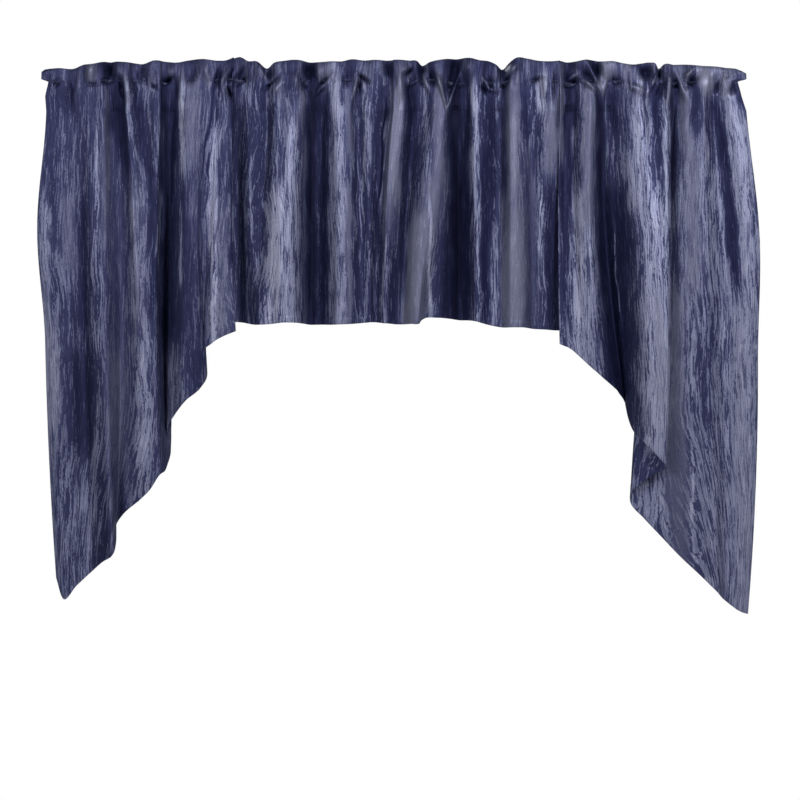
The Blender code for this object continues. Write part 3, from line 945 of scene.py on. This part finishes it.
def make_bark_streaks():
    """Upright bark-like streaks of a jacquard, as a level from 0, navy, to 1, palest.

    Broad, narrow and ragged noise, stretched down the cloth, are added up. Where the sum
    passes an edge, which the tone moves, the cloth shows its pale floats, and elsewhere its
    ground. Folded noise cuts thin cracks into the floats, which branch, and the peaks of
    fine noise lay thin threads over both. Where the cloth is plain, the level is near its
    tone, and only the threads and the grain stay.
    """
    inputs = [
        ("Place", "NodeSocketVector", None),
        ("Tone", "NodeSocketFloat", 0.5),
        ("Plain", "NodeSocketFloat", 0.0),
    ]
    group, given, made = new_group("bark_streaks", inputs, [("Level", "NodeSocketFloat")])
    place, tone, plain = (given.outputs[name] for name in ("Place", "Tone", "Plain"))
    leaning = wander(group, place, *LEANING)
    crooked = wander(group, leaning, *CROOKED)
    crossing = wander(group, crooked, *CROSSING)
    broad, _ = noise(group, crooked, BROAD_CELLS, 2.0, FINER_WEIGHT)
    narrow, _ = noise(group, crossing, NARROW_CELLS, 1.0, FINER_WEIGHT)
    ragged, _ = noise(group, crooked, RAGGED_CELLS, 1.0, FINER_WEIGHT)
    cracks, _ = noise(group, crossing, CRACK_CELLS, 1.0, FINER_WEIGHT)
    threads, _ = noise(group, place, THREAD_CELLS, 1.0)
    grain, _ = noise(group, place, GRAIN_CELLS, 1.0)

    field = math_node(group, "MULTIPLY", broad, BROAD_SHARE)
    field = math_node(group, "MULTIPLY_ADD", narrow, NARROW_SHARE, field)
    field = math_node(group, "MULTIPLY_ADD", ragged, RAGGED_SHARE, field)
    field = math_node(group, "MULTIPLY_ADD", tone, TONE_SHARE, field)
    whole = soft_step(group, folded(group, cracks), *CRACK_EDGE)
    cracked = math_node(group, "MULTIPLY_ADD", whole, *CRACK_LEVEL)
    floats = math_node(group, "MULTIPLY", soft_step(group, field, *FLOAT_EDGE), cracked)
    ground = math_node(group, "MULTIPLY_ADD", tone, *GROUND_LEVEL)
    rise = math_node(group, "MULTIPLY_ADD", tone, *FLOAT_RISE)
    streaky = math_node(group, "MULTIPLY_ADD", floats, rise, ground)
    palest = soft_step(group, field, *PALEST_EDGE)
    streaky = math_node(group, "MULTIPLY_ADD", palest, PALEST_RISE, streaky)

    calm = math_node(group, "MULTIPLY_ADD", tone, *PLAIN_LEVEL)
    calmer = math_node(group, "SUBTRACT", calm, streaky)
    level = math_node(group, "MULTIPLY_ADD", calmer, plain, streaky)
    thread = soft_step(group, threads, *THREAD_EDGE)
    level = math_node(group, "MULTIPLY_ADD", thread, THREAD_RISE, level)
    mottle = math_node(group, "MULTIPLY_ADD", grain, *GRAIN_LEVEL)
    group.links.new(math_node(group, "MULTIPLY", level, mottle), made.inputs["Level"])
    return group


def make_satin_weave():
    """Fine upright warp floats, tied by thin weft ribs: the sum of two noises, as a height."""
    inputs = [("Place", "NodeSocketVector", None)]
    group, given, made = new_group("satin_weave", inputs, [("Height", "NodeSocketFloat")])
    warp, _ = noise(group, given.outputs["Place"], WARP_CELLS, 0.0)
    weft, _ = noise(group, given.outputs["Place"], WEFT_CELLS, 0.0)
    group.links.new(math_node(group, "ADD", warp, weft), made.inputs["Height"])
    return group


BARK_STREAKS = make_bark_streaks()
SATIN_WEAVE = make_satin_weave()
PATTERN_MAP = "cloth"

# The satin's finish. Its roughness falls with the level, as slope and start. On the wrong
# side the tone is made from the right side's, as slope and start too: nearly even.
ROUGHNESS = (-0.10, 0.58)
METALLIC = 0.5
SPECULAR = 0.08
WEAVE_DEPTH = 0.08 * MM
WRONG_SIDE_TONE = (-0.15, 0.50)

# A colour mix has its own sockets after those for numbers of the same names.
FIRST_COLOUR = 6
SECOND_COLOUR = 7
MIXED_COLOUR = 2


def read_attribute(tree, name):
    """A named value of the mesh's points."""
    node = tree.nodes.new("ShaderNodeAttribute")
    node.attribute_name = name
    return node.outputs["Fac"]


def colour_scale(tree, level, stops):
    """The colour at a level, on a scale of stops that are a level and a colour each."""
    node = tree.nodes.new("ShaderNodeValToRGB")
    ramp = node.color_ramp
    while len(ramp.elements) < len(stops):
        ramp.elements.new(0.5)
    for element, (position, colour) in zip(ramp.elements, stops):
        element.position = position
        element.color = colour
    feed(tree, node.inputs["Fac"], level)
    return node.outputs["Color"]


def satin_material(name, offset, reverse=False):
    """The jacquard's satin, with streaks for its colour and gloss, and its weave as relief.

    The wrong side shows the floats' backs, so its tones are nearly even.
    """
    material = bpy.data.materials.new(name)
    material.use_nodes = True
    tree = material.node_tree
    shader = tree.nodes["Principled BSDF"]
    uv = tree.nodes.new("ShaderNodeUVMap")
    uv.uv_map = PATTERN_MAP
    place = vector_node(tree, "ADD", uv.outputs["UV"], (*offset, 0.0))
    tone, plain = read_attribute(tree, "tone"), read_attribute(tree, "plain")
    if reverse:
        tone = math_node(tree, "MULTIPLY_ADD", tone, *WRONG_SIDE_TONE)
    streaks = tree.nodes.new("ShaderNodeGroup")
    streaks.node_tree = BARK_STREAKS
    for socket, value in (("Place", place), ("Tone", tone), ("Plain", plain)):
        feed(tree, streaks.inputs[socket], value)
    level = streaks.outputs["Level"]
    blend = tree.nodes.new("ShaderNodeMix")
    blend.data_type = "RGBA"
    feed(tree, blend.inputs["Factor"], plain)
    feed(tree, blend.inputs[FIRST_COLOUR], colour_scale(tree, level, SATIN_COLOURS))
    feed(tree, blend.inputs[SECOND_COLOUR], colour_scale(tree, level, PLAIN_COLOURS))
    tree.links.new(blend.outputs[MIXED_COLOUR], shader.inputs["Base Color"])
    roughness = math_node(tree, "MULTIPLY_ADD", level, *ROUGHNESS)
    tree.links.new(roughness, shader.inputs["Roughness"])
    shader.inputs["Metallic"].default_value = METALLIC
    shader.inputs["Specular IOR Level"].default_value = SPECULAR

    weave = tree.nodes.new("ShaderNodeGroup")
    weave.node_tree = SATIN_WEAVE
    feed(tree, weave.inputs["Place"], place)
    bump = tree.nodes.new("ShaderNodeBump")
    bump.inputs["Distance"].default_value = WEAVE_DEPTH
    tree.links.new(weave.outputs["Height"], bump.inputs["Height"])
    tree.links.new(bump.outputs["Normal"], shader.inputs["Normal"])
    return material


add_panel(LEFT)


# Centre panel. A level valance of the same satin, with a nearly straight hem, gathered
# between the two swags. Below the pocket its side edges are tucked close behind theirs.
CENTRE_FOLDS = (
    (-283, -306, -308, 12, 12, 14, -384),
    (-269, -270, -269, 3, -9, -6, -384),
    (-250, -253, -248, 13, 9, 6, -388),
    (-226, -233, -240, 7, 12, 20, -389),
    (-207, -211, -214, 23, 30, 30, -388),
    (-184, -190, -194, 26, 38, 39, -386),
    (-165, -172, -173, 18, 28, 30, -386),
    (-153, -158, -160, 4, 9, 9, -387),
    (-143, -146, -148, 3, -12, -12, -388),
    (-131, -133, -134, 3, -6, -6, -388),
    (-117, -116, -114, 16, 18, 18, -389),
    (-100, -97, -100, 25, 33, 33, -389),
    (-83, -80, -80, 20, 27, 27, -388),
    (-68, -63, -61, 10, 14, 15, -386),
    (-51, -49, -48, 20, 21, 18, -385),
    (-29, -34, -34, 16, 10, 12, -385),
    (-19, -30, -28, 8, 12, 20, -386),
    (-7, -19, -16, 25, 31, 20, -387),
    (10, -1, -3, 23, 22, 10, -388),
    (27, 15, 10, 3, 2, 12, -388),
    (46, 29, 22, 8, 22, 32, -388),
    (65, 46, 35, 23, 33, 38, -388),
    (75, 60, 39, 22, 30, 24, -382),
    (83, 71, 48, 16, 24, 15, -377),
    (90, 83, 68, 6, 15, 15, -377),
    (97, 94, 88, 3, -3, 0, -378),
    (105, 104, 105, 3, -15, -15, -380),
    (116, 116, 119, 8, 2, 2, -381),
    (131, 133, 134, 24, 27, 27, -384),
    (151, 153, 153, 16, 18, 18, -389),
    (172, 172, 173, 3, 9, 16, -393),
    (194, 194, 194, 26, 36, 36, -394),
    (214, 214, 214, 18, 27, 30, -394),
    (233, 230, 231, 13, 15, 15, -396),
    (252, 246, 250, 23, 21, 14, -397),
    (265, 262, 264, 22, 15, 8, -398),
    (275.5, 296, 297, 9, 6, 10, -399),
)

CENTRE_RUFFLES = (
    (-283, 66, -4, -4),
    (-269, 68, 4, 2),
    (-255, 60, 9, 3),
    (-240, 60, 6, 5),
    (-224, 50, -6, -3),
    (-212, 57, 6, 2),
    (-194, 60, 9, 4),
    (-170, 63, 2, 0),
    (-150, 60, -3, -4),
    (-134, 59, 6, 0),
    (-116, 59, 13, 5),
    (-95, 60, 5, 2),
    (-78, 63, 10, 4),
    (-56, 62, 2, -2),
    (-39, 62, 9, 3),
    (-19, 62, 4, 0),
    (-2, 62, 9, 4),
    (19, 62, 3, -3),
    (32, 61, 8, 4),
    (41, 55, -4, -3),
    (54, 59, 5, 1),
    (71, 62, 9, 4),
    (87, 65, 3, 0),
    (102, 66, -4, -5),
    (119, 66, 8, 4),
    (139, 61, 11, 6),
    (156, 60, 5, 0),
    (168, 54, 8, 2),
    (178, 48, -6, -4),
    (189, 57, 5, 0),
    (201, 65, 10, 5),
    (221, 65, 4, 1),
    (241, 60, 11, 3),
    (262, 60, 6, 2),
    (275.5, 61, 9, 5),
)

CENTRE_CREASES = (
    (-272, 36, 25, 12, 4, -7.5),
    (-266, 27, 50, 9, 3, -10.5),
    (-248, 40, 0, 16, 7, 6),
    (-218, 38, 0, 8, 6, -10.5),
    (-228, 37, -28, 12, 3, 6),
    (-216, 22, 50, 13, 2.5, -12),
    (-206, 12, 35, 14, 4, 6),
    (-173, 27, -10, 12, 6, 7.5),
    (-158, 15, -25, 13, 4, -12),
    (-153, 44, 0, 11, 8, -10.5),
    (-134, 41, 0, 14, 8, 6),
    (-127, 26, 54, 11, 2.2, -13.5),
    (-132, 13, 42, 10, 2.4, 9),
    (-85, 28, 0, 12, 9, -6),
    (-73, 15, 13, 22, 3, 9),
    (-59, 31, -50, 10, 2.5, -13.5),
    (-66, 20, 5, 12, 3, -7.5),
    (-16, 46, -15, 12, 5, -9),
    (4, 20, 0, 24, 6, 6),
    (15, 46, 0, 5, 6, 4.5),
    (17, 42, 45, 8, 3, -13.5),
    (18, 26, 0, 8, 2.5, 9),
    (21, 7, -10, 12, 4, -15),
    (28, 25, 60, 7, 2.5, 9),
    (40, 44, 0, 12, 4, -12),
    (46, 27, -20, 17, 2.8, 9),
    (57, 31, -25, 11, 6, -12),
    (70, 22, -16, 18, 2.8, 9),
    (79, 8, 0, 12, 3, -7.5),
    (98, 50, 0, 14, 8, -10.5),
    (94, 8, 19, 32, 2.5, 13.5),
    (78, -3, -10, 20, 2.5, 7.5),
    (88, 20, 14, 16, 4, -9),
    (103, 0, 15, 30, 5, -6),
    (117, 49, 0, 10, 8, 6),
    (149, 23, -35, 10, 2.5, 10.5),
    (160, 11, -75, 7, 2.5, 9),
    (146, 12, -40, 9, 3.5, -9),
    (158, 22, 0, 7, 4, -9),
    (184, 24, 24, 17, 3.5, -16.5),
    (193, 44, 45, 12, 5, 10.5),
    (186, 52, 45, 8, 4, -7.5),
    (236, 29, 70, 8, 2.5, -9),
    (250, 18, 0, 20, 5, 4.5),
    (268, 20, 0, 24, 4, -7.5),
)

# As on the left swag, near-black bands along the deepest valleys are painted shade, some bands are
# lightened as painted light against the folds' shade, and the header's short rows hold painted shade
# in its pinches and painted highlight on its puffs.
CENTRE_BANDS = (
    (-272, 60, -270, -400, 12, 0.28, 0.3),
    (-250, 30, -250, -400, 10, 0.38, 0.1),
    (-230, 20, -234, -260, 9, 0.28, 0.2),
    (-226, 60, -218, 20, 10, 0.45, 0.4),
    (-200, 25, -190, -60, 12, 0.70, 0.5),
    (-172, 10, -172, -70, 7, 0.46, 0.9),
    (-184, -50, -186, -400, 18, 0.76, 0.1),
    # Painted light: lightened against the shade of the fold's slope here.
    (-208, -150, -212, -400, 15, 0.94, 0.1),
    (-195, -30, -196, -140, 7, 0.40, 0.4),
    (-258, -130, -258, -260, 7, 0.50, 0.2),
    (-160, 10, -160, -400, 4, 0.50, 0.7),
    # Painted shade over the jacquard's dark ground: a near-black band along the valley at -143.
    (-147, 66, -147, -400, 8.5, 0.02, 1.0),
    (-128, 24, -127, -400, 10, 0.16, 0.3),
    (-131, 66, -131, 30, 7, 0.52, 1.0),
    (-153, 66, -153, 24, 8, 0.14, 0.9),
    (-112, 66, -98, -120, 11, 0.76, 0.1),
    (-101, -120, -102, -400, 16, 0.74, 0.15),
    (-84, -150, -82, -400, 6, 0.58, 1.0),
    (-81, 66, -80, 24, 11, 0.12, 0.5),
    (-84, 20, -84, -110, 8, 0.54, 1.0),
    (-69, 0, -66, -400, 9, 0.36, 0.1),
    (-48, 66, -48, 38, 11, 0.52, 0.9),
    (-52, 34, -54, -140, 8, 0.64, 0.3),
    (-55, -140, -52, -400, 10, 0.38, 0.1),
    (-14, 66, -15, 26, 6, 0.12, 0.6),
    (-34, 30, -38, -250, 7, 0.26, 0.3),
    (2, 66, 2, 20, 15, 0.56, 1.0),
    (2, 24, -13, -190, 17, 0.72, 0.9),
    (-20, 10, -37, -240, 2.4, 0.00, 0.8),
    (-21, -190, -25, -400, 3.5, 0.66, 0.0),
    (-11, -180, -12, -250, 11, 0.48, 0.9),
    (-9, -260, -10, -400, 8, 0.18, 0.3),
    (24, 30, 20, -120, 11, 0.14, 0.5),
    (14, -120, 2, -400, 7, 0.22, 0.3),
    (32, 66, 32, 38, 7, 0.20, 0.5),
    (44, 62, 45, 38, 5, 0.64, 0.5),
    (45, 0, 50, -60, 5, 0.66, 0.0),
    (51, -110, 52, -150, 5, 0.72, 0.0),
    (58, 46, 58, 20, 8, 0.12, 0.6),
    (72, 40, 68, -140, 12, 0.60, 1.0),
    (68, -120, 56, -220, 18, 0.60, 1.0),
    (50, -190, 26, -400, 20, 0.66, 1.0),
    (30, -200, 16, -400, 10, 0.82, 1.0),
    (76, -230, 78, -400, 11, 0.18, 0.5),
    (54, -180, 54, -400, 3.5, 0.84, 0.0),
    # Painted shade over the jacquard's dark ground: a near-black band along the valley at 105.
    (99, 66, 100, -400, 12, 0.00, 1.0),
    (117, 66, 117, -400, 6, 0.16, 0.5),
    (112, 66, 114, 44, 8, 0.52, 1.0),
    (131, 32, 130, -100, 6, 0.84, 0.1),
    (127, -90, 130, -150, 9, 0.80, 0.05),
    (131, -150, 133, -220, 3.8, 0.74, 0.05),
    (137, -220, 137, -400, 2.6, 0.68, 0.0),
    (156, 30, 156, -220, 14, 0.22, 0.1),
    (149, -90, 147, -400, 7, 0.10, 0.3),
    (165, -210, 161, -400, 4, 0.66, 0.05),
    (154, 66, 154, 36, 10, 0.14, 0.4),
    (180, 40, 180, -180, 6, 0.12, 0.6),
    (176, 66, 176, 30, 5, 0.10, 0.9),
    (195, 30, 195, -180, 14, 0.72, 1.0),
    (200, -180, 201, -400, 24, 0.70, 1.0),
    (187, -230, 184, -400, 8, 0.80, 1.0),
    (196, 58, 194, 40, 7, 0.60, 1.0),
    (228, 20, 230, -70, 9, 0.42, 0.05),
    (225, -80, 227, -400, 10, 0.42, 0.9),
    (245, 50, 245, -36, 8, 0.86, 0.05),
    (236, -44, 238, -120, 9, 0.34, 0.2),
    (242, -150, 243, -270, 4.5, 0.84, 0.0),
    (248, -270, 250, -400, 4, 0.60, 0.0),
    (262, -4, 257, -140, 12, 0.66, 0.95),
    (260, -150, 262, -400, 12, 0.15, 0.4),
    (-248, 66, -242, 10, 7, 0.28, 0.3),
    (-262, 32, -260, 8, 6, 0.55, 0.3),
    (-209, 66, -208, 8, 7, 0.60, 0.5),
    (-186, 66, -182, 4, 12, 0.24, 0.5),
    (-170, 14, -176, -16, 6, 0.34, 0.5),
    (-160, 16, -164, -34, 6, 0.62, 0.8),
    (-140, 8, -144, -70, 8, 0.00, 1.0),
    (-122, 44, -122, 12, 7, 0.70, 0.4),
    (-74, 30, -75, 6, 8, 0.58, 0.9),
    (-24, 66, -25, 38, 5, 0.48, 0.5),
    (-7, 66, -6, 12, 7, 0.30, 0.8),
    (29, 6, 27, -50, 6, 0.04, 0.8),
    (45, 30, 47, 6, 5, 0.62, 0.4),
    (82, 66, 80, 34, 7, 0.20, 0.6),
    (140, 66, 140, 36, 15, 0.14, 0.5),
    (166, 28, 166, 8, 5, 0.62, 0.3),
    (201, 66, 200, 40, 7, 0.24, 0.6),
    (196, 36, 196, -24, 12, 0.54, 1.0),
    (213, 6, 217, -70, 8, 0.14, 0.2),
    (241, 66, 240, 38, 14, 0.40, 0.4),
)

CENTRE_FANS = (
    (-222, 90, 260, 45, -0.45),
)

CENTRE = {
    "name": "centre_panel_cloth",
    "nodes": ("centre_heading", "centre_valance"),
    "folds": CENTRE_FOLDS,
    "ruffles": CENTRE_RUFFLES,
    "creases": CENTRE_CREASES,
    "bands": CENTRE_BANDS,
    "ground": (0.42, 0.1),
    "fans": CENTRE_FANS,
    "pattern_offset": (1.7, 0.6),
    "steps": 12,
    "rows": 36,
    "outer_end": 0,
    "bow": 0.0,
    "shifts": {"low": 0.0, "middle": 0.0, "high": 0.0, "edge": 0.0},
}

add_panel(CENTRE)


# Right swag. Cut as the left one's mirror image. Its inner edge is folded back on itself in
# three layers halfway down, so that the hem steps to and fro before it falls to the tail.
RIGHT_FOLDS = (
    (275.9, 272, 274, 13, 24, 27, -422),
    (287, 284, 292, 4, 18, 30, -430),
    (298, 298, 309, 3, 22, 34, -445),
    (309, 311, 326, 16, 34, 38, -461),
    (323, 323, 343, 25, 40, 40, -476),
    (333, 335, 364, 22, 33, 27, -493),
    (342, 347, 377, 5, 3, 9, -505),
    (350, 359, 388, 3, -12, -6, -520),
    (362, 374, 393, 3, -3, 2, -546),
    (376, 391, 401, 11, 12, 15, -570),
    (391, 408, 416, 20, 30, 33, -588),
    (411, 427, 434, 25, 42, 45, -607),
    (435, 445, 445, 16, 44, 46, -620),
    (452, 457, 452, 23, 42, 45, -627),
    (461, 462, 454, 20, 34, 36, -632),
    (464, 452, 432, 16, 26, 26, -644),
    (467, 437, 411, 11, 20, 20, -661),
    (468, 423, 396, 7, 10, 12, -677),
    (470, 425, 398, 4, 0, 2, -694),
    (472, 442, 420, 3, 2, 3, -719),
    (474, 462, 447, 5, 14, 10, -748),
    (479, 478, 479, 9, 19, 14, -782),
    (491, 495, 513, 19, 24, 18, -814),
    (513, 518, 537, 23, 30, 27, -838),
    (541, 563, 559, 11, 15, 15, -860),
    (566, 590, 581, 23, 28, 20, -876),
    (592, 611, 595, 18, 23, 16, -881),
)

RIGHT_RUFFLES = (
    (275.9, 61, 5, 2),
    (289, 60, -3, -3),
    (304, 60, 8, 3),
    (320, 62, 10, 0),
    (333, 63, -4, -3),
    (348, 60, 9, 2),
    (367, 60, 11, 4),
    (384, 57, 5, 1),
    (401, 54, 8, 4),
    (416, 57, 1, -1),
    (428, 58, 6, 3),
    (439, 55, 10, 4),
    (445, 49, -5, -3),
    (452, 54, 6, 2),
    (469, 54, 9, 4),
    (486, 55, 3, -2),
    (502, 53, 10, 4),
    (520, 52, 5, 2),
    (541, 51, 9, 5),
    (561, 49, 3, -1),
    (578, 47, 7, 4),
    (592, 43, 4, 3),
)

RIGHT_CREASES = (
    (286, 8, 0, 30, 4, -7.5),
    (294, 32, 55, 12, 3.5, 7.5),
    (298, 24, 56, 13, 4, -13.5),
    (322, 33, -30, 12, 6, -12),
    (324, 19, -50, 16, 3, 10.5),
    (334, 32, -25, 24, 3, 10.5),
    (340, 46, -10, 13, 7, -12),
    (349, 17, 0, 15, 7, 6),
    (359, 4, 0, 20, 5, -6),
    (371, 27, 90, 9, 6, -7.5),
    (405, 12, -65, 16, 5, 7.5),
    (423, 41, 0, 10, 9, -12),
    (435, 26, 25, 16, 3, 9),
    (444, 38, 0, 8, 4, -12),
    (447, 12, 20, 14, 5, -10.5),
    (459, 10, 5, 25, 4, 10.5),
    (458, 30, -40, 8, 3, 7.5),
    (474, 14, -8, 19, 6, -12),
    (482, 17, -20, 22, 4, 7.5),
    (493, 37, 45, 10, 3, 9),
    (499, 25, 40, 11, 5, -13.5),
    (525, 24, 0, 21, 11, 9),
    (542, 15, 20, 9, 4, -7.5),
    (556, 22, 0, 16, 6, 4.5),
    (570, 12, 30, 10, 5, -7.5),
)

# As on the left swag, near-black bands along the deepest valleys are painted shade, some bands are
# lightened as painted light against the folds' shade, and the header's short rows hold painted shade
# in its pinches and painted highlight on its puffs.
RIGHT_BANDS = (
    # Painted shade over the jacquard's dark ground: a near-black band along the valley near 290 at
    # the top.
    (291, 62, 291, -220, 10, 0.03, 0.7),
    (282, -110, 284, -390, 9, 0.18, 0.3),
    (300, 62, 335, 30, 14, 0.16, 0.5),
    (304, 20, 302, -230, 8, 0.40, 0.2),
    (312, -170, 315, -440, 13, 0.96, 0.1),
    (323, 25, 321, -230, 10, 0.62, 1.0),
    (322, -240, 320, -440, 12, 0.72, 0.2),
    # Painted shade over the jacquard's dark ground: a near-black band along the valley at 350.
    (345, 15, 352, -340, 9, 0.02, 1.0),
    (366, 20, 370, -60, 12, 0.22, 0.2),
    (362, -60, 368, -140, 13, 0.34, 0.1),
    (370, -150, 376, -580, 30, 0.07, 0.5),
    (366, 60, 394, -50, 8, 0.56, 0.2),
    (402, -24, 404, -200, 13, 0.84, 0.1),
    (435, -200, 436, -610, 20, 0.80, 0.0),
    (412, 62, 424, 30, 14, 0.14, 0.5),
    (437, 30, 442, -140, 9, 0.28, 0.2),
    (456, 10, 455, -240, 5, 0.72, 0.2),
    (471, 20, 470, -180, 9, 0.24, 0.5),
    # Painted light: these two bands are lightened against the shade behind the turned inner edge.
    (472, -180, 472, -330, 11, 0.44, 0.4),
    (474, -330, 472, -640, 15, 0.64, 0.8),
    (455, -400, 455, -570, 4, 0.92, 0.0),
    (440, -330, 445, -540, 9, 0.82, 0.7),
    (488, 30, 492, -110, 8, 0.62, 1.0),
    (366, -190, 381, -390, 1.5, 0.46, 0.0),
    (499, -20, 501, -340, 16, 0.66, 0.7),
    (474, -560, 474, -840, 22, 0.50, 1.0),
    (500, -560, 503, -690, 8, 0.50, 0.2),
    (500, -590, 501, -800, 2.5, 0.84, 0.0),
    (500, 30, 502, -10, 9, 0.20, 0.4),
    (520, 60, 520, 5, 9, 0.85, 0.6),
    (526, 0, 530, -80, 7, 0.34, 0.2),
    (528, -100, 545, -330, 3, 0.72, 0.0),
    (524, -340, 520, -560, 13, 0.42, 0.1),
    (580, 20, 590, -880, 20, 0.77, 0.3),
    (534, 4, 562, -140, 9, 0.10, 0.3),
    (558, -140, 576, -330, 10, 0.14, 0.2),
    (548, -380, 560, -880, 13, 0.62, 0.0),
    (436, -680, 450, -780, 22, 0.62, 0.1),
    (332, 66, 336, 38, 10, 0.03, 0.9),
    (356, 62, 356, 34, 12, 0.62, 0.9),
    (372, 34, 372, 20, 8, 0.16, 0.6),
    (392, 60, 420, 8, 9, 0.74, 0.3),
    (458, 50, 458, 34, 9, 0.16, 0.6),
    (478, 56, 492, 8, 7, 0.60, 0.8),
    (524, 50, 522, 6, 11, 0.70, 0.9),
    (581, 30, 588, -26, 11, 0.12, 0.4),
    (509, 0, 512, -70, 7, 0.28, 0.3),
    (388, 0, 391, -80, 8, 0.30, 0.3),
    (278, 34, 277, -110, 6, 0.60, 0.9),
    (300, 10, 301, -40, 7, 0.14, 0.4),
    (352, 66, 350, 12, 10, 0.76, 0.9),
    (369, 12, 370, -60, 9, 0.10, 0.5),
    (386, 8, 388, -24, 7, 0.40, 0.2),
    (403, 66, 403, 40, 7, 0.42, 0.4),
    (437, 12, 437, -60, 7, 0.12, 0.3),
    (471, 32, 471, 10, 6, 0.44, 0.9),
    (488, 62, 488, 36, 7, 0.38, 0.8),
    (505, 12, 504, -60, 7, 0.18, 0.3),
    (557, 30, 558, -24, 7, 0.72, 0.5),
)

RIGHT_FANS = (
    (611, 550, 900, 130, 0.9),
)

RIGHT = {
    "name": "right_swag_cloth",
    "nodes": ("right_heading", "right_swag"),
    "folds": RIGHT_FOLDS,
    "ruffles": RIGHT_RUFFLES,
    "creases": RIGHT_CREASES,
    "bands": RIGHT_BANDS,
    "ground": (0.60, 0.1),
    "fans": RIGHT_FANS,
    "pattern_offset": (3.1, 1.4),
    "steps": 12,
    "rows": 76,
    "outer_end": -1,
    "bow": 8 * MM,
    "shifts": {"low": 0.0, "middle": -8 * MM, "high": -14 * MM, "edge": 1 * MM},
}

add_panel(RIGHT)
